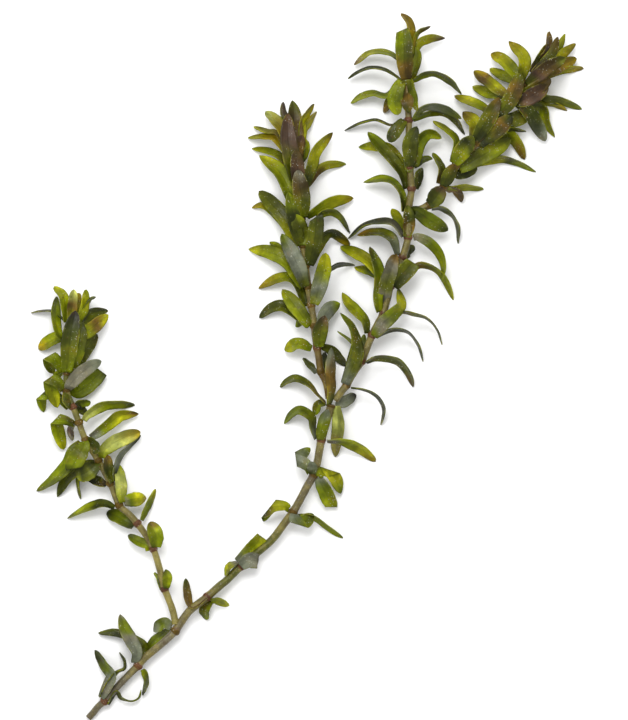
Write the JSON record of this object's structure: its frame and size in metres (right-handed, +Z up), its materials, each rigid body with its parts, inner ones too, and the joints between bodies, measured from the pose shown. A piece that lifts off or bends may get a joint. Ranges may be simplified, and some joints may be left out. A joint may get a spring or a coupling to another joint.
{
  "type": "canadian waterweed sprig",
  "caption": "Cut, branched sprig of an aquatic plant lying flat, with slender forking stems and crowded whorls of small curved leaves",
  "frame": {"origin": "middle of the sprig's rectangle on the surface it lies on", "axes": "+Z up from the surface, +Y from the cut end towards the shoot tips, +X to the right as seen from above"},
  "size_m": [0.0829, 0.1059, 0.0064],
  "materials": {
    "stem": "wet olive-brown stem, redder at the nodes",
    "leaf": "thin wet translucent olive-green leaf",
    "young_leaf": "dark purple-brown to yellow-green young leaf, wet"
  },
  "bodies": {
    "root": {"main_stem_lower": "stem", "main_stem_upper": "stem", "left_shoot_stem": "stem", "middle_shoot_stem": "stem", "right_shoot_stem_lower": "stem", "right_shoot_stem_upper": "stem", "side_shoot_stem": "stem", "main_whorl_1": "leaf", "main_whorl_2": "leaf", "main_whorl_3": "leaf", "main_whorl_4": "leaf", "main_whorl_5": "leaf", "main_whorl_6": "leaf", "main_whorl_7": "leaf", "main_whorl_8": "leaf", "main_whorl_9": "leaf", "left_whorl_1": "leaf", "left_whorl_2": "leaf", "left_whorl_3": "leaf", "left_whorl_4": "leaf", "left_whorl_5": "leaf", "left_whorl_6": "leaf", "left_whorl_7": "leaf", "left_whorl_8": "leaf", "left_whorl_9": "leaf", "left_whorl_10": "leaf", "left_whorl_11": "leaf", "left_whorl_12": "leaf", "left_tip": "young_leaf", "middle_whorl_1": "leaf", "middle_whorl_2": "leaf", "middle_whorl_3": "leaf", "middle_whorl_4": "leaf", "middle_whorl_5": "leaf", "middle_whorl_6": "leaf", "middle_whorl_7": "leaf", "middle_whorl_8": "leaf", "middle_whorl_9": "leaf", "middle_tip": "young_leaf", "right_whorl_1": "leaf", "right_whorl_2": "leaf", "right_whorl_3": "leaf", "right_whorl_4": "leaf", "right_whorl_5": "leaf", "right_whorl_6": "leaf", "right_whorl_7": "leaf", "right_whorl_8": "leaf", "right_whorl_9": "leaf", "right_whorl_10": "leaf", "right_whorl_11": "leaf", "right_whorl_12": "leaf", "right_tip": "young_leaf", "side_whorl_1": "leaf", "side_whorl_2": "leaf", "side_whorl_3": "leaf", "side_whorl_4": "leaf", "side_whorl_5": "leaf", "side_whorl_6": "leaf", "side_whorl_7": "leaf", "side_tip": "young_leaf"}
  },
  "joints": []
}
